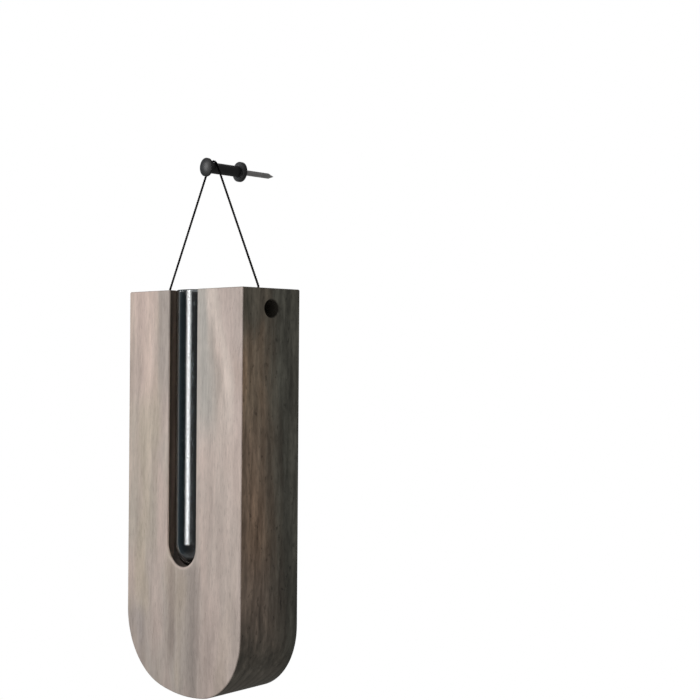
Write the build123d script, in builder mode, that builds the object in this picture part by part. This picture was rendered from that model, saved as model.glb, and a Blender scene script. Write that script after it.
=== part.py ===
"""Hanging wall vase: a drilled wood block that carries a glass tube and hangs by a cord from a wall peg.

Units are millimetres. The wall is the plane Y = 0, the room is on its -Y side and +Z is up.
The origin is the axis of the wall peg, where the peg meets the wall.
"""

import math
import os

from build123d import *

# Wood block
BLOCK_WIDTH = 98.0
BLOCK_HEIGHT = 215.0
BLOCK_DEPTH = 39.0
FOOT_CORNER_RADIUS = 38.0
FOOT_CROWN_RADIUS = 95.0
EDGE_EASE = 0.8
MOUTH_EASE = 0.5

# Glass tube and the bore and window that hold it
TUBE_DIAMETER = 30.0
TUBE_LENGTH = 150.0
TUBE_WALL = 1.5
RIM_EASE = 0.6
TUBE_PROUD = 0.5
TUBE_CLEARANCE = 0.4
WINDOW_WIDTH = 24.0

# Cord, the holes that it passes through and its knots
CORD_DIAMETER = 1.2
CORD_INSET = 10.0
CORD_HOLE_DIAMETER = 2.0
MOUTH_BEND_RADIUS = 3.6
CREST_FLAT = 0.1
SIDE_HOLE_DIAMETER = 9.4
SIDE_HOLE_DROP = 10.5
SIDE_HOLE_PAST_CORD = 4.0
KNOT_DIAMETER = 4.0
KNOT_NECK_DIAMETER = 1.8
KNOT_TAIL = 3.0
KNOT_GAP = 0.2

# Wall peg
HANG_DROP = 66.5
PEG_DIAMETER = 6.0
PEG_CLEARANCE = 0.1
PEG_HEAD_GAP = 4.0
PEG_HEAD_DIAMETER = 10.0
PEG_HEAD_RIM = 1.2
PEG_HEAD_DOME = 1.8
COLLAR_DIAMETER = 11.0
COLLAR_THICKNESS = 2.0
COLLAR_EASE = 0.5
SPIKE_DIAMETER = 3.0
SPIKE_LENGTH = 20.0
SPIKE_POINT = 4.0

# How far a cut runs past the surface that it opens
OVERRUN = 1.0

# Places that follow from the sizes
half_width = BLOCK_WIDTH / 2
block_top = -HANG_DROP
block_foot = block_top - BLOCK_HEIGHT
front_y = -BLOCK_DEPTH
mid_y = front_y / 2

tube_radius = TUBE_DIAMETER / 2
tube_y = front_y - TUBE_PROUD + tube_radius
tube_ball_z = block_top - TUBE_LENGTH + tube_radius
tube_axis = Axis((0, tube_y, 0), (0, 0, 1))
tube_plane = Plane(origin=(0, tube_y, 0), x_dir=(1, 0, 0), z_dir=(0, -1, 0))

cord_radius = CORD_DIAMETER / 2
cord_x = half_width - CORD_INSET
side_hole_z = block_top - SIDE_HOLE_DROP
knot_top = side_hole_z + SIDE_HOLE_DIAMETER / 2 - KNOT_GAP

peg_radius = PEG_DIAMETER / 2
wrap_radius = peg_radius + PEG_CLEARANCE + cord_radius

os.makedirs("parts", exist_ok=True)


def save(piece, name):
    """Label a finished piece and write it under its own name."""
    piece.part.label = name
    export_step(piece.part, f"parts/{name}.step")


# Wood block: corner arcs lead from the straight sides into the flatter crown arc of the foot
corner_to_crown = FOOT_CROWN_RADIUS - FOOT_CORNER_RADIUS
corner_x = half_width - FOOT_CORNER_RADIUS
crown_rise = math.sqrt(corner_to_crown**2 - corner_x**2)
crown_z = block_foot + FOOT_CROWN_RADIUS
corner_z = crown_z - crown_rise
join_x = FOOT_CROWN_RADIUS * corner_x / corner_to_crown
join_z = crown_z - FOOT_CROWN_RADIUS * crown_rise / corner_to_crown

with BuildPart() as wood_block:
    with BuildSketch(Plane.XZ):
        with BuildLine():
            Polyline(
                (-half_width, corner_z),
                (-half_width, block_top),
                (half_width, block_top),
                (half_width, corner_z),
            )
            TangentArc((half_width, corner_z), (join_x, join_z), tangent=(0, -1))
            ThreePointArc((join_x, join_z), (0, block_foot), (-join_x, join_z))
            TangentArc((-half_width, corner_z), (-join_x, join_z), tangent=(0, -1))
        make_face()
    extrude(amount=BLOCK_DEPTH)

    face_edges = wood_block.edges().filter_by(Axis.Y, reverse=True)
    top_side_edges = wood_block.edges().filter_by(Axis.Y).group_by(Axis.Z)[-1]
    fillet(face_edges + top_side_edges, EDGE_EASE)

    # Bore for the tube, a clearance wider all round, with a ball end and an eased mouth
    bore_radius = tube_radius + TUBE_CLEARANCE
    with BuildSketch(tube_plane):
        with BuildLine():
            Polyline(
                (0, tube_ball_z - bore_radius),
                (0, block_top + OVERRUN),
                (bore_radius + MOUTH_EASE + OVERRUN, block_top + OVERRUN),
                (bore_radius, block_top - MOUTH_EASE),
                (bore_radius, tube_ball_z),
            )
            TangentArc((bore_radius, tube_ball_z), (0, tube_ball_z - bore_radius), tangent=(0, -1))
        make_face()
    revolve(axis=tube_axis, mode=Mode.SUBTRACT)

    # Window from the front to the middle of the bore, with its round end about the tube's ball end
    window_height = block_top + OVERRUN - tube_ball_z
    front_plane = Plane.XZ.offset(BLOCK_DEPTH)
    for margin, depth, taper in ((0, tube_y - front_y, 0), (MOUTH_EASE, MOUTH_EASE, 45)):
        with BuildSketch(front_plane):
            with Locations((0, tube_ball_z)):
                Circle(WINDOW_WIDTH / 2 + margin)
                Rectangle(WINDOW_WIDTH + 2 * margin, window_height + margin, align=(Align.CENTER, Align.MIN))
        extrude(amount=-depth, taper=taper, mode=Mode.SUBTRACT)

    # Cord holes from the top, each ending in a wider hole from the side that takes the knot
    with Locations((-cord_x, mid_y, block_top), (cord_x, mid_y, block_top)):
        CounterSinkHole(CORD_HOLE_DIAMETER / 2, CORD_HOLE_DIAMETER / 2 + MOUTH_EASE, SIDE_HOLE_DROP)
    for sign in (-1, 1):
        with Locations(Plane(origin=(sign * half_width, mid_y, side_hole_z), z_dir=(sign, 0, 0))):
            CounterSinkHole(
                SIDE_HOLE_DIAMETER / 2,
                SIDE_HOLE_DIAMETER / 2 + MOUTH_EASE,
                CORD_INSET + SIDE_HOLE_PAST_CORD,
            )
save(wood_block, "wood_block")


# Glass tube: straight wall, ball end, fire-rounded rim level with the top of the block
with BuildPart() as glass_tube:
    with BuildSketch(tube_plane):
        with BuildLine():
            inner_radius = tube_radius - TUBE_WALL
            Polyline(
                (inner_radius, tube_ball_z),
                (inner_radius, block_top),
                (tube_radius, block_top),
                (tube_radius, tube_ball_z),
            )
            TangentArc((tube_radius, tube_ball_z), (0, tube_ball_z - tube_radius), tangent=(0, -1))
            Line((0, tube_ball_z - tube_radius), (0, tube_ball_z - inner_radius))
            TangentArc((inner_radius, tube_ball_z), (0, tube_ball_z - inner_radius), tangent=(0, -1))
        make_face()
    revolve(axis=tube_axis)
    fillet(glass_tube.edges().group_by(Axis.Z)[-1], RIM_EASE)
save(glass_tube, "glass_tube")


# Cord: knot to knot, up through the block, taut to the peg, over it and down again
leg_angle = math.atan2(cord_x, HANG_DROP) - math.asin(wrap_radius / math.hypot(cord_x, HANG_DROP))
crest_x = wrap_radius * math.tan((math.pi / 2 - leg_angle) / 2) + CREST_FLAT / 2
cord_route = [
    (-cord_x, knot_top),
    (-cord_x, block_top),
    (-crest_x, wrap_radius),
    (crest_x, wrap_radius),
    (cord_x, block_top),
    (cord_x, knot_top),
]
cord_bends = [MOUTH_BEND_RADIUS, wrap_radius, wrap_radius, MOUTH_BEND_RADIUS]

with BuildPart() as hanging_cord:
    with BuildLine(Plane.XZ.offset(-mid_y)) as route:
        FilletPolyline(*cord_route, radius=cord_bends)
    with BuildSketch(Plane(origin=route.line @ 0, z_dir=route.line % 0)):
        Circle(cord_radius)
    sweep()
save(hanging_cord, "hanging_cord")

cord_length = sum(edge.length for edge in route.edges())
expected_volume = math.pi * cord_radius**2 * cord_length
print("cord bend radii", [round(bend, 2) for bend in cord_bends])
print("cord length", round(cord_length, 2))
print("cord volume", round(hanging_cord.part.volume, 3), "section times length", round(expected_volume, 3))


# Stopper knots: a ball, cut flat at its two necks, under the roof of each side hole, with a short tail
knot_height = math.sqrt(KNOT_DIAMETER**2 - KNOT_NECK_DIAMETER**2)
knot_bottom = knot_top - knot_height
for side, sign in (("left", -1), ("right", 1)):
    knot_origin = (sign * cord_x, mid_y, 0)
    with BuildPart() as cord_knot:
        with BuildSketch(Plane(origin=knot_origin, x_dir=(1, 0, 0), z_dir=(0, -1, 0))):
            with BuildLine():
                Line((0, knot_top), (KNOT_NECK_DIAMETER / 2, knot_top))
                ThreePointArc(
                    (KNOT_NECK_DIAMETER / 2, knot_top),
                    (KNOT_DIAMETER / 2, knot_top - knot_height / 2),
                    (KNOT_NECK_DIAMETER / 2, knot_bottom),
                )
                Polyline(
                    (KNOT_NECK_DIAMETER / 2, knot_bottom),
                    (cord_radius, knot_bottom),
                    (cord_radius, knot_bottom - KNOT_TAIL),
                    (0, knot_bottom - KNOT_TAIL),
                    (0, knot_top),
                )
            make_face()
        revolve(axis=Axis(knot_origin, (0, 0, 1)))
    save(cord_knot, f"cord_knot_{side}")


# Wall peg: spike in the wall, collar against it, shank under the cord and a domed head in front
head_back_y = mid_y - PEG_HEAD_GAP
head_rim_y = head_back_y - PEG_HEAD_RIM
head_front_y = head_rim_y - PEG_HEAD_DOME
with BuildPart() as wall_peg:
    with BuildSketch(Plane.XY):
        with BuildLine():
            Polyline(
                (0, head_front_y),
                (0, SPIKE_LENGTH + SPIKE_POINT),
                (SPIKE_DIAMETER / 2, SPIKE_LENGTH),
                (SPIKE_DIAMETER / 2, 0),
                (COLLAR_DIAMETER / 2, 0),
                (COLLAR_DIAMETER / 2, COLLAR_EASE - COLLAR_THICKNESS),
                (COLLAR_DIAMETER / 2 - COLLAR_EASE, -COLLAR_THICKNESS),
                (peg_radius, -COLLAR_THICKNESS),
                (peg_radius, head_back_y),
                (PEG_HEAD_DIAMETER / 2, head_back_y),
                (PEG_HEAD_DIAMETER / 2, head_rim_y),
            )
            TangentArc((0, head_front_y), (PEG_HEAD_DIAMETER / 2, head_rim_y), tangent=(1, 0))
        make_face()
    revolve(axis=Axis.Y)
save(wall_peg, "wall_peg")
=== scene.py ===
"""Looks of the hanging wall vase: greyed wood block, glass tube, black cord with tied knots, black peg.

Units are metres, in the same frame as the solids: the wall is the plane Y = 0, the room is on its -Y side,
+Z is up, and the origin is the axis of the wall peg, where the peg meets the wall.
"""

import math

import bpy
import numpy as np
from mathutils import Matrix, Vector


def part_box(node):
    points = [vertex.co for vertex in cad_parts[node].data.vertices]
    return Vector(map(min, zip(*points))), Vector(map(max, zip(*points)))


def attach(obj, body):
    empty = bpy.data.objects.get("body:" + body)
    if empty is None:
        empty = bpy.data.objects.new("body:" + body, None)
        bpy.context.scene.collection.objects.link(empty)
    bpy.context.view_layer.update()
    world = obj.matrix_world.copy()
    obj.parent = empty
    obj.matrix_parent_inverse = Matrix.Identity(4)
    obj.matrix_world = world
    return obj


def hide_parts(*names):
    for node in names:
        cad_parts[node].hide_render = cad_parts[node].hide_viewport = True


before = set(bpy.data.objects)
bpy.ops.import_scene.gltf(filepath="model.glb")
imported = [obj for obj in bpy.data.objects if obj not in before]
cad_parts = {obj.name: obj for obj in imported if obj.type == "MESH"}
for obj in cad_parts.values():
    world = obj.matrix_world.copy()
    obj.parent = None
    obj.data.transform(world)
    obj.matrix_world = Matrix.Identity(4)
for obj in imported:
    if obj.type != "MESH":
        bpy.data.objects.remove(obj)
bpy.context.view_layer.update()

scene = bpy.context.scene
scene.view_settings.view_transform = "Standard"


# Camera: level with the block's upper part, to the right of its front; lens and sensor in millimetres
CAMERA_PLACE = (0.5095, -0.4237, -0.0988)
CAMERA_YAW = math.radians(44.968)
CAMERA_PITCH = math.radians(0.077)
CAMERA_ROLL = math.radians(0.428)
CAMERA_LENS = 61.37
CAMERA_SENSOR = 36.0

ahead = Vector(
    (
        -math.sin(CAMERA_YAW) * math.cos(CAMERA_PITCH),
        math.cos(CAMERA_YAW) * math.cos(CAMERA_PITCH),
        math.sin(CAMERA_PITCH),
    )
)
level_right = ahead.cross(Vector((0, 0, 1))).normalized()
level_up = level_right.cross(ahead)
camera_right = level_right * math.cos(CAMERA_ROLL) + level_up * math.sin(CAMERA_ROLL)
camera_up = level_up * math.cos(CAMERA_ROLL) - level_right * math.sin(CAMERA_ROLL)

camera_data = bpy.data.cameras.new("camera")
camera_data.sensor_width = CAMERA_SENSOR
camera_data.lens = CAMERA_LENS
camera = bpy.data.objects.new("camera", camera_data)
camera_turn = Matrix((camera_right, camera_up, -ahead)).transposed().to_4x4()
camera.matrix_world = Matrix.Translation(CAMERA_PLACE) @ camera_turn
scene.collection.objects.link(camera)
scene.camera = camera


# Cord: knot to knot, with a point on each long leg near its mouth corner and near the peg
CORD_Y = -0.0195
CORD_DIAMETER = 0.0012
CORD_ROUTE = [
    (-0.0390, -0.0725),
    (-0.0390, -0.0665),
    (-0.0362, -0.0612),
    (-0.00535, -0.00215),
    (-0.002289, 0.0037),
    (0.002289, 0.0037),
    (0.00535, -0.00215),
    (0.0362, -0.0612),
    (0.0390, -0.0665),
    (0.0390, -0.0725),
]

# Its three strands touch each other, and their crests stand a little proud of the cord's radius
STRANDS = 3
STRAND_SIDES = 10
STRAND_CREST = 0.00003
STRAND_RADIUS = (CORD_DIAMETER / 2 + STRAND_CREST) / (1 + 2 / math.sqrt(3))
HELIX_RADIUS = STRAND_RADIUS * 2 / math.sqrt(3)
LAY_LENGTH = 0.0040

# Points from one control point of a line to the next, and the distance under which two points are one
CORD_DETAIL = 150
KNOT_DETAIL = 12
SAME_POINT = 1e-7

# Tied overhand knot, in cord diameters from its neck: a loop round the cord, and the tail through it
KNOT_NECK = [(0.0, 0.0, 0.0), (0.0, 0.0, -0.8), (-0.2, -0.25, -1.4)]
KNOT_TAIL = [
    (0.05, 0.35, -2.25),
    (0.1, 0.0, -2.85),
    (0.1, 0.0, -3.6),
    (0.1, 0.0, -4.3),
    (0.2, 0.1, -5.0),
    (0.4, 0.2, -5.5),
]
LOOP_POINTS = 14
LOOP_TURNS = 1.28
LOOP_START = math.radians(210)
LOOP_RADIUS = 1.2
LOOP_DRAWN_IN = 0.3
LOOP_DRAW_POWER = 6
LOOP_MIDDLE = -1.85
LOOP_RISE = 1.35

# Rounded end of a knot's tail, and the share of its rounding after which it is cut flat
TIP_LENGTH = 0.0006
TIP_CUT = 0.98


def overhand_knot():
    """Control points of the knot, in cord diameters, from its neck to the end of its tail.

    The loop dips and rises once, and it is drawn in at both of its ends.
    """
    loop = []
    for share in np.linspace(0, 1, LOOP_POINTS):
        angle = LOOP_START - 2 * math.pi * LOOP_TURNS * share
        radius = LOOP_RADIUS * (1 - LOOP_DRAWN_IN * (2 * share - 1) ** LOOP_DRAW_POWER)
        height = LOOP_MIDDLE - LOOP_RISE * math.sin(2 * math.pi * share)
        loop.append((radius * math.cos(angle), radius * math.sin(angle), height))
    return KNOT_NECK + loop + KNOT_TAIL


def smooth_line(points, detail):
    """Points along a smooth curve that has the given points as its control points."""
    curve = bpy.data.curves.new("line", "CURVE")
    curve.dimensions = "3D"
    curve.resolution_u = detail
    spline = curve.splines.new("NURBS")
    spline.points.add(len(points) - 1)
    for point, place in zip(spline.points, points):
        point.co = (*place, 1.0)
    spline.order_u = 3
    spline.use_endpoint_u = True
    holder = bpy.data.objects.new("line", curve)
    scene.collection.objects.link(holder)
    mesh = bpy.data.meshes.new_from_object(holder)
    line = np.array([vertex.co for vertex in mesh.vertices])
    bpy.data.objects.remove(holder)
    bpy.data.curves.remove(curve)
    bpy.data.meshes.remove(mesh)
    apart = np.linalg.norm(np.diff(line, axis=0), axis=1) > SAME_POINT
    return line[np.r_[True, apart]]


def unit(vectors):
    """The vectors, each scaled to length one."""
    return vectors / np.linalg.norm(vectors, axis=-1, keepdims=True)


def carried_normals(line, first):
    """A normal at each point of a line, carried along it without twist."""
    tangents = unit(np.gradient(line, axis=0))
    normals = [np.asarray(first, float)]
    for tangent in tangents:
        normal = normals[-1] - tangent * np.dot(normals[-1], tangent)
        normals.append(normal / np.linalg.norm(normal))
    return tangents, np.array(normals[1:])


def laid_cord(name, line, tip=0.0):
    """Three twisted strands along a line, as closed tubes; tip is the length of their rounded far end.

    They make whole turns, so that the strands of a cord run on into its knots.
    """
    travel = np.r_[0, np.cumsum(np.linalg.norm(np.diff(line, axis=0), axis=1))]
    turns = round(travel[-1] / LAY_LENGTH)
    tangents, normals = carried_normals(line, (0, 1, 0))
    binormals = np.cross(tangents, normals)
    swell = np.ones(len(line))
    if tip:
        into_tip = np.clip(1 - (travel[-1] - travel) / tip, 0, TIP_CUT)
        swell = np.sqrt(1 - into_tip**2)
    corners, faces = [], []
    for strand in range(STRANDS):
        turn = 2 * math.pi * (turns * travel / travel[-1] + strand / STRANDS)
        out = np.cos(turn)[:, None] * normals + np.sin(turn)[:, None] * binormals
        core = line + out * (HELIX_RADIUS * swell)[:, None]
        along = unit(np.gradient(core, axis=0))
        across = unit(np.cross(along, out))
        outward = np.cross(across, along)
        first = len(corners)
        for centre, sideways, outwards, size in zip(core, across, outward, swell * STRAND_RADIUS):
            for k in range(STRAND_SIDES):
                angle = 2 * math.pi * k / STRAND_SIDES
                corners.append(centre + size * (math.cos(angle) * sideways + math.sin(angle) * outwards))
        for ring in range(len(line) - 1):
            a = first + ring * STRAND_SIDES
            for k in range(STRAND_SIDES):
                b = (k + 1) % STRAND_SIDES
                faces.append((a + k, a + b, a + STRAND_SIDES + b, a + STRAND_SIDES + k))
        last = first + (len(line) - 1) * STRAND_SIDES
        faces.append(tuple(first + k for k in reversed(range(STRAND_SIDES))))
        faces.append(tuple(last + k for k in range(STRAND_SIDES)))
    mesh = bpy.data.meshes.new(name)
    mesh.from_pydata([tuple(corner) for corner in corners], [], faces)
    mesh.update()
    for polygon in mesh.polygons:
        polygon.use_smooth = len(polygon.vertices) == 4
    piece = bpy.data.objects.new(name, mesh)
    scene.collection.objects.link(piece)
    return piece


cord_line = smooth_line([(x, CORD_Y, z) for x, z in CORD_ROUTE], CORD_DETAIL)
cord = laid_cord("cord_strands", cord_line)
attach(cord, "vase")
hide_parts("hanging_cord")

knots = []
for hand, facing, (neck_x, neck_z) in (("left", 1, CORD_ROUTE[0]), ("right", -1, CORD_ROUTE[-1])):
    knot_points = [
        (
            neck_x + facing * x * CORD_DIAMETER,
            CORD_Y + facing * y * CORD_DIAMETER,
            neck_z + z * CORD_DIAMETER,
        )
        for x, y, z in overhand_knot()
    ]
    knot = laid_cord(f"knot_{hand}_tied", smooth_line(knot_points, KNOT_DETAIL), tip=TIP_LENGTH)
    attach(knot, "vase")
    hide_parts(f"cord_knot_{hand}")
    knots.append(knot)


# Shared by the finishes and lights; most of a noise lies between its two limits
MM_PER_METRE = 1000.0
NOISE_LOW = 0.25
NOISE_HIGH = 0.75
WHITE = (1.0, 1.0, 1.0, 1.0)


class Nodes:
    """A node tree that is built from nothing, with short calls for its fields."""

    def __init__(self, tree):
        self.tree = tree
        tree.nodes.clear()

    def add(self, kind, values=(), **settings):
        """Adds a node; values go to its inputs in their order."""
        node = self.tree.nodes.new(kind)
        for key, value in settings.items():
            setattr(node, key, value)
        for socket, value in zip(node.inputs, values):
            self.feed(socket, value)
        return node

    def feed(self, socket, value):
        """Links a socket to another node's output, or sets it to a value."""
        if isinstance(value, bpy.types.NodeSocket):
            self.tree.links.new(value, socket)
        elif value is not None:
            socket.default_value = value

    def math(self, operation, a, b=None, c=None):
        """A number worked out from up to three others."""
        return self.add("ShaderNodeMath", (a, b, c), operation=operation).outputs[0]

    def vector(self, operation, a, b=None, c=None):
        """A vector worked out from up to three others."""
        return self.add("ShaderNodeVectorMath", (a, b, c), operation=operation).outputs[0]

    def step(self, value, low, high, to_low=0.0, to_high=1.0):
        """A smooth step of value between low and high."""
        node = self.add("ShaderNodeMapRange", (value, low, high, to_low, to_high))
        node.interpolation_type = "SMOOTHSTEP"
        return node.outputs[0]

    def mix(self, factor, a, b):
        """The colour a where the factor is zero, and b where it is one."""
        node = self.add("ShaderNodeMix", data_type="RGBA")
        self.feed(node.inputs[0], factor)
        for socket, value in ((node.inputs[6], a), (node.inputs[7], b)):
            self.feed(socket, (*value, 1.0) if isinstance(value, tuple) else value)
        return node.outputs[2]

    def bell(self, value, centre, half_width):
        """One where value is at the centre, and a half at half_width from it."""
        away = self.math("DIVIDE", self.math("SUBTRACT", value, centre), half_width)
        return self.math("POWER", 0.5, self.math("MULTIPLY", away, away))

    def both(self, first, *others):
        """The product of masks."""
        for other in others:
            first = self.math("MULTIPLY", first, other)
        return first

    def length(self, x, y, z):
        """The length of a vector that is given by its three parts."""
        place = self.add("ShaderNodeCombineXYZ", (x, y, z)).outputs[0]
        return self.add("ShaderNodeVectorMath", (place,), operation="LENGTH").outputs["Value"]

    def times(self, colour, factor):
        """A colour times a number."""
        node = self.add("ShaderNodeVectorMath", (colour,), operation="SCALE")
        self.feed(node.inputs["Scale"], factor)
        return node.outputs[0]

    def vary(self, colour, noise, darkest, lightest):
        """A colour times a factor that follows a noise."""
        return self.times(colour, self.step(noise, NOISE_LOW, NOISE_HIGH, darkest, lightest))

    def lay(self, colour, mask, strength, tone):
        """A colour with a tone over it, as strong as the mask times the strength."""
        return self.mix(self.math("MULTIPLY", mask, strength), colour, tone)


class Finish(Nodes):
    """A material about one Principled surface, in the coordinates of the shared frame."""

    def __init__(self, name):
        self.material = bpy.data.materials.new(name)
        self.material.use_nodes = True
        super().__init__(self.material.node_tree)
        self.surface = self.add("ShaderNodeBsdfPrincipled")
        self.add("ShaderNodeOutputMaterial", (self.surface.outputs["BSDF"],))
        self.place = self.add("ShaderNodeTexCoord").outputs["Object"]
        self.x, self.y, self.z = self.add("ShaderNodeSeparateXYZ", (self.place,)).outputs

    def set(self, **values):
        """Sets or links the surface's own sockets; an underscore in a name stands for a space."""
        for key, value in values.items():
            self.feed(self.surface.inputs[key.replace("_", " ")], value)

    def grain(self, size_mm, shift=(0, 0, 0), detail=2.0, rough=0.5, place=None):
        """Noise whose spots are about size_mm large along each axis."""
        spread = tuple(MM_PER_METRE / size for size in size_mm)
        moved = self.vector("MULTIPLY_ADD", place or self.place, spread, shift)
        node = self.add("ShaderNodeTexNoise")
        self.feed(node.inputs["Vector"], moved)
        self.feed(node.inputs["Scale"], 1.0)
        self.feed(node.inputs["Detail"], detail)
        self.feed(node.inputs["Roughness"], rough)
        return node

    def bump(self, height, depth, strength):
        """Gives the surface a relief, where a height of one is the depth in metres."""
        node = self.add("ShaderNodeBump")
        self.feed(node.inputs["Height"], height)
        self.feed(node.inputs["Distance"], depth)
        self.feed(node.inputs["Strength"], strength)
        self.feed(self.surface.inputs["Normal"], node.outputs[0])

    def edge(self, radius, low, high):
        """A mask along edges: one where the surface turns within the radius, zero on flat faces."""
        bevel = self.add("ShaderNodeBevel", samples=6)
        self.feed(bevel.inputs["Radius"], radius)
        flat = self.add("ShaderNodeNewGeometry").outputs["Normal"]
        turned = self.add("ShaderNodeVectorMath", (bevel.outputs[0], flat), operation="DOT_PRODUCT")
        return self.step(self.math("SUBTRACT", 1.0, turned.outputs["Value"]), low, high)


def dress(node, material):
    """Gives a solid its finish."""
    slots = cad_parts[node].data.materials
    slots.clear()
    slots.append(material)


# Openings of the block that its finish follows; their places come from the solids
WINDOW_HALF_WIDTH = 0.0120
BORE_CLEARANCE = 0.0004
SIDE_HOLE_RADIUS = 0.0047
SIDE_HOLE_DROP = 0.0105
SIDE_HOLE_DEPTH = 0.0140

# Depths behind the front face between which the finish of the front fades out
FRONT_SKIN = 0.0002
FRONT_END = 0.0007

block_low, block_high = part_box("wood_block")
tube_low, tube_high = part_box("glass_tube")
tube_radius = (tube_high.x - tube_low.x) / 2
tube_y = (tube_low.y + tube_high.y) / 2
tube_ball_z = tube_low.z + tube_radius
window_end_z = tube_ball_z - WINDOW_HALF_WIDTH
bore_radius = tube_radius + BORE_CLEARANCE
bore_end_z = tube_ball_z - bore_radius
side_hole_z = block_high.z - SIDE_HOLE_DROP
side_hole_end_x = block_high.x - SIDE_HOLE_DEPTH

# Growth rings about a pith that stands behind the block and leans back a little
PITH_X = 0.018
PITH_Y = 0.062
PITH_LEAN = 0.073
RING_WIDTH = 0.0052
RING_SWAY = 0.010

# Wood: one block, so the growth rings, streaks and pores run through it in three dimensions
wood = Finish("wood")
sway = wood.vector("SUBTRACT", wood.grain((46, 46, 150), detail=1.0).outputs[1], (0.5, 0.5, 0.5))
grown = wood.vector("MULTIPLY_ADD", sway, (RING_SWAY, RING_SWAY, 0.0), wood.place)
grown_x, grown_y, grown_z = wood.add("ShaderNodeSeparateXYZ", (grown,)).outputs
from_pith_x = wood.math("SUBTRACT", grown_x, PITH_X)
from_pith_y = wood.math("SUBTRACT", grown_y, wood.math("MULTIPLY_ADD", grown_z, PITH_LEAN, PITH_Y))
ring_radius = wood.length(from_pith_x, from_pith_y, 0.0)
ring = wood.math("FRACT", wood.math("DIVIDE", ring_radius, RING_WIDTH))
late_wood = wood.math("MULTIPLY", wood.step(ring, 0.35, 0.95), wood.step(ring, 1.0, 0.96))

fibre = wood.grain((0.5, 0.5, 26), (3, 1, 7), 3.0, 0.6, grown).outputs[0]
streak = wood.grain((7, 7, 210), (11, 4, 2), 2.0, 0.55, grown).outputs[0]
cloud = wood.grain((24, 24, 90), (5, 9, 1), 2.0, 0.5, grown).outputs[0]
tint = wood.grain((15, 15, 60), (17, 3, 8), 1.0, 0.5, grown).outputs[0]
blotch = wood.grain((4.5, 4.5, 34), (13, 7, 6), 3.0, 0.6, grown).outputs[0]
speck = wood.grain((1.4, 1.4, 6), (9, 5, 3), 2.0, 0.6, grown).outputs[0]
pore = wood.step(wood.grain((0.4, 0.4, 4), (2, 6, 4), 1.0, 0.5, grown).outputs[0], 0.62, 0.74)
fleck = wood.step(wood.grain((2.2, 2.2, 4.0), (8, 2, 5), 2.0, 0.6).outputs[0], 0.60, 0.74)

# Front: sanded pale, with features that are each a mask, a strength and a tone
front = wood.mix(wood.step(tint, 0.35, 0.65), (0.525, 0.420, 0.370), (0.460, 0.398, 0.352))
front = wood.mix(wood.step(cloud, 0.54, 0.72), front, (0.500, 0.415, 0.335))
across = wood.math("MULTIPLY_ADD", wood.math("SUBTRACT", blotch, 0.5), 0.008, wood.x)
upper = wood.step(wood.z, -0.150, -0.105)
upper_right = wood.both(wood.step(wood.x, 0.009, 0.012), wood.step(wood.z, -0.158, -0.125))
past_figure = wood.math("SUBTRACT", across, wood.step(wood.z, -0.118, -0.066, 0.0375, 0.0240))
lower = wood.step(wood.z, -0.206, -0.216)
below = wood.both(
    lower,
    wood.step(across, -0.0165, -0.0125),
    wood.step(across, 0.0190, 0.0150),
    wood.step(wood.z, -0.268, -0.255),
)
beside_window = wood.both(upper, wood.step(across, -0.0235, -0.0200), wood.step(wood.x, 0.0, -0.0120))
left_of_figure = wood.both(
    upper_right, wood.bell(past_figure, -0.0075, 0.0030), wood.step(wood.z, -0.085, -0.093)
)
left_streak = wood.both(lower, wood.bell(across, -0.0086, 0.0034), wood.step(wood.z, -0.272, -0.256))
lower_right = wood.both(wood.step(grown_x, 0.008, 0.022), wood.step(wood.z, -0.110, -0.150))
olive_left = wood.both(
    wood.step(across, -0.018, -0.024), wood.step(wood.z, -0.118, -0.135), wood.step(wood.z, -0.218, -0.200)
)
left_rim = wood.both(wood.step(across, -0.036, -0.042), wood.bell(wood.z, -0.110, 0.016))
right_of_window = wood.both(wood.bell(across, 0.0190, 0.0034), wood.step(wood.z, -0.150, -0.118))
pale_left = wood.both(wood.bell(across, -0.0200, 0.0042), wood.bell(wood.z, -0.226, 0.018))
low_left = wood.both(wood.step(across, -0.026, -0.033), wood.step(wood.z, -0.236, -0.248))
near_foot = wood.bell(wood.z, -0.252, 0.012)
brown_patch = wood.both(wood.bell(past_figure, 0.008, 0.0035), wood.bell(wood.z, -0.110, 0.010))
light_figure = wood.both(wood.bell(past_figure, 0.0, 0.0034), wood.step(wood.z, -0.152, -0.130))
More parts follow.
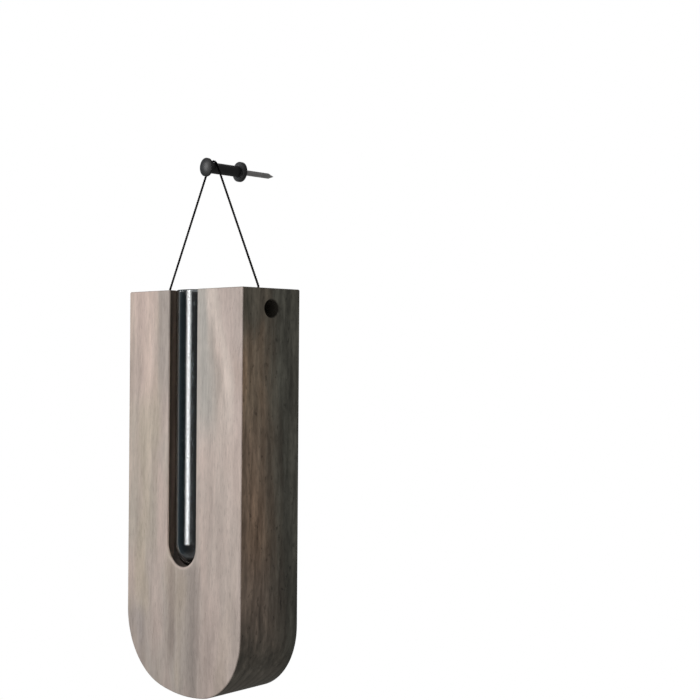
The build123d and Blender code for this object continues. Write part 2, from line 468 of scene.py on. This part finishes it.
front_features = [
    # Upper left: pink, duller at the rim, with a dark strip beside the window, and olive further down
    (wood.both(upper, wood.step(across, -0.018, -0.028)), 0.65, (0.590, 0.455, 0.400)),
    (wood.both(upper, wood.step(across, -0.0415, -0.0455)), 0.6, (0.460, 0.375, 0.320)),
    (beside_window, 0.85, (0.375, 0.325, 0.290)),
    (olive_left, 0.5, (0.430, 0.370, 0.300)),
    (left_rim, 0.5, (0.360, 0.300, 0.260)),
    # Right: pinkish low down; above, a slanting light figure, greyer to its left and browner to its right
    (lower_right, 0.55, (0.570, 0.462, 0.408)),
    (wood.both(upper_right, wood.step(past_figure, -0.004, -0.010)), 0.8, (0.455, 0.425, 0.385)),
    (left_of_figure, 0.7, (0.460, 0.385, 0.335)),
    (right_of_window, 0.75, (0.360, 0.335, 0.305)),
    (wood.both(upper_right, wood.step(past_figure, 0.002, 0.006)), 0.7, (0.540, 0.435, 0.392)),
    (brown_patch, 0.7, (0.450, 0.350, 0.300)),
    (light_figure, 0.85, (0.665, 0.560, 0.495)),
    # Below the window: duller, with two dark streaks
    (below, 0.2, (0.370, 0.310, 0.280)),
    (left_streak, 0.7, (0.320, 0.255, 0.215)),
    (wood.both(lower, wood.bell(across, 0.0104, 0.0046)), 0.75, (0.310, 0.258, 0.228)),
    # Near the foot: a pale patch and a greyer one on the left, two short streaks on the right
    (pale_left, 0.5, (0.620, 0.520, 0.460)),
    (low_left, 0.4, (0.335, 0.280, 0.275)),
    (wood.both(near_foot, wood.bell(across, 0.0255, 0.0032)), 0.55, (0.330, 0.270, 0.240)),
    (wood.both(near_foot, wood.bell(across, 0.0145, 0.0026)), 0.5, (0.330, 0.270, 0.240)),
]
for mask, strength, tone in front_features:
    front = wood.lay(front, mask, strength, tone)
front = wood.vary(front, streak, 0.91, 1.06)
front = wood.vary(front, blotch, 0.91, 1.07)
front = wood.vary(front, speck, 0.93, 1.07)
# Painted shade: the front is darkened towards the foot, where less of the light falls.
front = wood.times(front, wood.step(wood.z, -0.285, -0.120, 0.80, 1.0))

# A paler rim under the round end of the window: a painted highlight, as on an eased edge that catches the
# light
from_end_centre = wood.length(wood.x, 0.0, wood.math("SUBTRACT", wood.z, tube_ball_z))
painted_highlight_rim = wood.both(
    wood.step(from_end_centre, WINDOW_HALF_WIDTH + 0.0020, WINDOW_HALF_WIDTH + 0.0006),
    wood.step(wood.z, tube_ball_z - 0.0055, tube_ball_z - 0.0100),
)
front = wood.lay(front, painted_highlight_rim, 0.5, (0.66, 0.545, 0.490))

# Sides, back and ends: brown, with dark flecks; darker towards the back as painted shade, and duller
# towards the top and the foot
side = wood.mix(wood.step(cloud, 0.38, 0.62), (0.58, 0.390, 0.255), (0.44, 0.330, 0.232))
side = wood.mix(wood.step(wood.z, -0.120, -0.150, 0.0, 0.5), side, (0.45, 0.300, 0.215))
side = wood.mix(wood.step(wood.z, -0.190, -0.225, 0.0, 0.7), side, (0.41, 0.328, 0.268))
# Painted shade: the sides are darkened towards the back, by the wall; they are also duller towards the top
# and the foot.
leaning_y = wood.math("MULTIPLY_ADD", wood.math("ADD", wood.z, 0.165), 0.07, wood.y)
back_shade_and_dull = wood.step(wood.math("MULTIPLY_ADD", blotch, 0.016, leaning_y), -0.026, 0.000)
dull_top = wood.step(wood.math("MULTIPLY_ADD", blotch, 0.030, wood.z), -0.088, -0.066)
dull_foot = wood.step(wood.math("MULTIPLY_ADD", blotch, 0.030, wood.z), -0.205, -0.250)
back_shade_and_dull = wood.math("MAXIMUM", back_shade_and_dull, wood.math("MULTIPLY", wood.math("MAXIMUM", dull_top, dull_foot), 0.8))
side = wood.mix(back_shade_and_dull, side, (0.180, 0.173, 0.140))
back = wood.mix(wood.step(cloud, 0.36, 0.64), (0.36, 0.275, 0.205), (0.28, 0.220, 0.170))
on_back = wood.step(wood.y, -0.0006, -0.0002)
side = wood.mix(on_back, side, back)
side = wood.times(side, wood.step(wood.z, -0.225, -0.170, 0.92, 1.19))
side = wood.vary(side, streak, 0.75, 1.2)
calm = wood.math("MULTIPLY_ADD", on_back, -0.6, 1.0)
mottle = wood.math("MULTIPLY", wood.step(blotch, NOISE_LOW, NOISE_HIGH, -0.36, 0.34), calm)
side = wood.times(side, wood.math("ADD", mottle, 1.0))
side = wood.vary(side, speck, 0.82, 1.18)
side = wood.times(side, wood.math("MULTIPLY_ADD", fleck, -0.4, 1.0))
up = wood.add("ShaderNodeSeparateXYZ", (wood.add("ShaderNodeTexCoord").outputs["Normal"],)).outputs[2]
end_grain = wood.step(wood.math("ABSOLUTE", up), 0.30, 1.0)
end_tone = wood.mix(wood.step(tint, 0.35, 0.65), (0.220, 0.188, 0.148), (0.190, 0.172, 0.136))
side = wood.mix(end_grain, side, end_tone)

# Window walls: painted shade, darker brown and darkest next to the front edge; side holes: painted shade,
# dark brown; bore: painted shade, nearly black, brown at its round end
from_front = wood.math("SUBTRACT", wood.y, block_low.y)
from_middle = wood.math("ABSOLUTE", wood.x)
from_tube_axis = wood.length(wood.x, wood.math("SUBTRACT", wood.y, tube_y), 0.0)
in_bore = wood.both(
    wood.step(from_tube_axis, bore_radius + 0.0003, bore_radius + 0.0001),
    wood.step(from_front, FRONT_SKIN, FRONT_END),
    wood.step(wood.z, bore_end_z - 0.0026, bore_end_z - 0.0011),
)
from_hole_axis = wood.length(
    0.0, wood.math("SUBTRACT", wood.y, CORD_Y), wood.math("SUBTRACT", wood.z, side_hole_z)
)
in_hole = wood.both(
    wood.step(from_hole_axis, SIDE_HOLE_RADIUS + 0.00015, SIDE_HOLE_RADIUS),
    wood.step(from_middle, side_hole_end_x - 0.0050, side_hole_end_x - 0.0040),
)
window_wall = wood.both(
    wood.step(from_middle, WINDOW_HALF_WIDTH + 0.0007, WINDOW_HALF_WIDTH + 0.0004),
    wood.step(wood.z, window_end_z - 0.0011, window_end_z - 0.0006),
    wood.step(from_front, 0.0005, 0.0008),
    wood.step(wood.y, tube_y + 0.0025, tube_y + 0.0005),
)
# Painted shade in the bore: nearly black, lighter brown at its round end.
bore_painted_shade = wood.mix(wood.step(streak, 0.3, 0.7), (0.026, 0.023, 0.021), (0.016, 0.015, 0.014))
bore_painted_shade = wood.mix(wood.step(wood.z, tube_ball_z, tube_ball_z - 0.005), bore_painted_shade, (0.130, 0.105, 0.092))

# All faces together, with rings, fibres and pores over them, and paler edges that are partly wear and
# partly a painted highlight
facing_front = wood.step(from_front, FRONT_END, FRONT_SKIN)
colour = wood.mix(facing_front, side, front)
# Painted shade on the window walls: darker brown, darkest next to the front edge as a painted shadow line.
wall_shade_tone = wood.mix(wood.step(from_front, 0.0010, 0.0035), (0.14, 0.105, 0.085), (0.30, 0.220, 0.170))
colour = wood.lay(colour, window_wall, 0.9, wall_shade_tone)
colour = wood.mix(in_bore, colour, bore_painted_shade)
# Painted shade in the side holes: dark brown.
colour = wood.lay(colour, in_hole, 0.9, (0.125, 0.110, 0.092))
ring_depth = wood.math("MULTIPLY_ADD", end_grain, -0.24, -0.16)
ring_depth = wood.math("MULTIPLY_ADD", facing_front, 0.10, ring_depth)
ring_depth = wood.math("MULTIPLY_ADD", on_back, -0.14, ring_depth)
colour = wood.times(colour, wood.math("MULTIPLY_ADD", late_wood, ring_depth, 1.0))
colour = wood.vary(colour, fibre, 0.94, 1.06)
pore_depth = wood.math("MULTIPLY_ADD", facing_front, 0.12, -0.26)
colour = wood.times(colour, wood.math("MULTIPLY_ADD", pore, pore_depth, 1.0))
wear_and_highlight = wood.edge(0.0011, 0.02, 0.25)
# Painted highlight: the paler edges are stronger near the foot.
wear_and_highlight = wood.math("MULTIPLY", wear_and_highlight, wood.step(wood.z, -0.235, -0.255, 0.25, 0.75))
colour = wood.mix(wear_and_highlight, colour, (0.60, 0.52, 0.46))
relief = wood.math("MULTIPLY_ADD", pore, -0.8, fibre)
relief = wood.math("MULTIPLY_ADD", late_wood, 0.3, relief)
wood.set(
    Base_Color=colour,
    Roughness=wood.step(fibre, 0.2, 0.8, 0.52, 0.72),
    Specular_IOR_Level=0.35,
)
wood.bump(relief, 0.00012, 0.8)
dress("wood_block", wood.material)


# Glass: clear with a faint cool tint, a little film towards the mouth and the slight draw lines of tubing
glass = Finish("glass")
film = glass.grain((6, 6, 18), (1, 2, 3), 3.0, 0.6).outputs[0]
near_mouth = glass.step(glass.z, -0.105, -0.070)
film_share = glass.math("MULTIPLY_ADD", near_mouth, 0.7, 0.3)
smear = glass.math("MULTIPLY", glass.step(film, 0.45, 0.75), film_share)
draw = glass.grain((3, 3, 240), (4, 4, 4), 1.0, 0.5).outputs[0]
glass.set(
    Base_Color=glass.mix(glass.step(draw, 0.3, 0.7), (0.87, 0.905, 0.91), (0.84, 0.885, 0.895)),
    Roughness=glass.math("MULTIPLY_ADD", smear, 0.012, 0.035),
    Transmission_Weight=1.0,
    IOR=1.5,
)
dress("glass_tube", glass.material)


# Cord: black, waxed, with dull fibres and a few lighter rubbed places
waxed = Finish("waxed_cord")
lint = waxed.grain((0.10, 0.10, 0.35), (2, 2, 2), 3.0, 0.65).outputs[0]
rubbed = waxed.step(waxed.grain((2.5, 2.5, 3.5), (6, 1, 3), 2.0, 0.5).outputs[0], 0.50, 0.75)
cord_colour = waxed.mix(waxed.step(lint, 0.35, 0.75), (0.004, 0.004, 0.005), (0.011, 0.010, 0.010))
waxed.set(
    Base_Color=waxed.lay(cord_colour, rubbed, 0.20, (0.032, 0.030, 0.028)),
    Roughness=waxed.step(lint, 0.2, 0.8, 0.48, 0.74),
    Specular_IOR_Level=0.10,
)
waxed.bump(lint, 0.00004, 0.7)
for piece in (cord, *knots):
    piece.data.materials.append(waxed.material)


# Peg: satin black paint with a fine texture, rubbed at its edges, and a bare steel spike
painted = Finish("black_paint")
orange_peel = painted.grain((0.45, 0.45, 0.45), (1, 5, 2), 2.0, 0.5).outputs[0]
patch = painted.grain((1.6, 1.6, 1.6), (7, 3, 1), 3.0, 0.6).outputs[0]
bare = painted.step(painted.y, 0.0002, 0.0006)
worn = painted.math("MULTIPLY", painted.edge(0.0005, 0.03, 0.35), painted.step(patch, 0.50, 0.66))
metal = painted.math("MAXIMUM", bare, worn)
scratch = painted.grain((0.25, 6.0, 0.25), (3, 3, 9), 2.0, 0.6).outputs[0]
paint = painted.mix(painted.step(patch, 0.3, 0.7), (0.016, 0.016, 0.017), (0.030, 0.029, 0.029))
steel = painted.mix(painted.step(scratch, 0.3, 0.7), (0.40, 0.39, 0.38), (0.56, 0.55, 0.54))
painted.set(
    Base_Color=painted.mix(metal, paint, steel),
    Metallic=metal,
    Roughness=painted.math("MULTIPLY_ADD", patch, 0.18, 0.40),
)
painted.bump(painted.math("ADD", orange_peel, scratch), 0.00003, 0.6)
dress("wall_peg", painted.material)


# Floor: pale and plain, well below the vase, and fading out towards its rim
FLOOR_Z = -0.45
FLOOR_RADIUS = 0.5
FLOOR_FULL_RADIUS = 0.15
FLOOR_SIDES = 96
FLOOR_GLOW = 0.4

rim = [
    (
        FLOOR_RADIUS * math.cos(2 * math.pi * k / FLOOR_SIDES),
        FLOOR_RADIUS * math.sin(2 * math.pi * k / FLOOR_SIDES),
        FLOOR_Z,
    )
    for k in range(FLOOR_SIDES)
]
floor_mesh = bpy.data.meshes.new("floor")
floor_mesh.from_pydata(rim, [], [tuple(range(FLOOR_SIDES))])
floor = bpy.data.objects.new("floor", floor_mesh)
scene.collection.objects.link(floor)
floor.visible_diffuse = False
floor.visible_glossy = False
pale = Finish("pale_floor")
floor_patch = pale.grain((60, 60, 60), detail=3.0).outputs[0]
pale.set(
    Base_Color=pale.mix(pale.step(floor_patch, 0.3, 0.7), (0.86, 0.86, 0.85), (0.89, 0.89, 0.88)),
    Roughness=0.7,
    Emission_Color=WHITE,
    Emission_Strength=FLOOR_GLOW,
    Alpha=pale.step(pale.length(pale.x, pale.y, 0.0), FLOOR_RADIUS, FLOOR_FULL_RADIUS),
)
floor_mesh.materials.append(pale.material)


# Light: an upright soft box in front and to the left, and a weak one behind
LIGHT_TARGET = (0, CORD_Y, -0.17)
KEY_HEIGHT = 0.22


def soft_box(name, azimuth, distance, height, size, watts, soft_edge, target=LIGHT_TARGET):
    """A rectangular light that faces the target and fades over soft_edge, a share of its width and height.

    Azimuth 0 is straight in front and 90 is to the right.
    """
    data = bpy.data.lights.new(name, "AREA")
    data.shape = "RECTANGLE"
    data.size, data.size_y = size
    data.energy = watts
    data.use_nodes = True
    glow = Nodes(data.node_tree)
    spot = glow.add("ShaderNodeNewGeometry").outputs["Parametric"]
    fades = []
    for share, soft in zip(glow.add("ShaderNodeSeparateXYZ", (spot,)).outputs, soft_edge):
        off_centre = glow.math("ABSOLUTE", glow.math("SUBTRACT", share, 0.5))
        fades.append(glow.step(off_centre, 0.5, 0.5 - soft))
    lit = glow.add("ShaderNodeEmission", (WHITE, glow.both(*fades)))
    glow.add("ShaderNodeOutputLight", (lit.outputs[0],))
    light = bpy.data.objects.new(name, data)
    turn = math.radians(azimuth)
    light.location = (math.sin(turn) * distance, -math.cos(turn) * distance, height)
    light.rotation_mode = "QUATERNION"
    light.rotation_quaternion = (Vector(target) - light.location).to_track_quat("-Z", "Y")
    light.visible_camera = False
    scene.collection.objects.link(light)


soft_box(
    "key",
    azimuth=-17.5,
    distance=1.4,
    height=KEY_HEIGHT,
    size=(0.75, 1.36),
    watts=41,
    soft_edge=(0.5, 0.04),
    target=(0, CORD_Y, KEY_HEIGHT),
)
soft_box("rear", azimuth=-150, distance=1.5, height=0.5, size=(0.8, 0.8), watts=11, soft_edge=(0.2, 0.2))


# Room: grey and dimmer to the front left, but white where it is seen directly or straight through the tube
ROOM_TONE = (0.21, 0.21, 0.21)
DIM_TONE = (0.080, 0.110, 0.130)
DIM_SIDE = (-0.89, -0.45, 0.0)
SURFACES_THROUGH_TUBE = 4

world = bpy.data.worlds.new("room")
world.use_nodes = True
room = Nodes(world.node_tree)
direction = room.add("ShaderNodeTexCoord").outputs["Generated"]
to_dim_side = room.add("ShaderNodeVectorMath", (direction, DIM_SIDE), operation="DOT_PRODUCT")
room_tone = room.mix(room.step(to_dim_side.outputs["Value"], 0.35, 0.95), ROOM_TONE, DIM_TONE)
cast = room.add("ShaderNodeBackground", (room_tone,))
shown = room.add("ShaderNodeBackground", (WHITE,))
ray = room.add("ShaderNodeLightPath").outputs
seen_through_tube = room.both(
    room.math("GREATER_THAN", ray["Transmission Depth"], SURFACES_THROUGH_TUBE - 0.5),
    room.math("LESS_THAN", ray["Glossy Depth"], 0.5),
    room.math("LESS_THAN", ray["Diffuse Depth"], 0.5),
)
seen = room.math("MAXIMUM", ray["Is Camera Ray"], seen_through_tube)
choose = room.add("ShaderNodeMixShader", (seen, cast.outputs[0], shown.outputs[0]))
room.add("ShaderNodeOutputWorld", (choose.outputs[0],))
scene.world = world
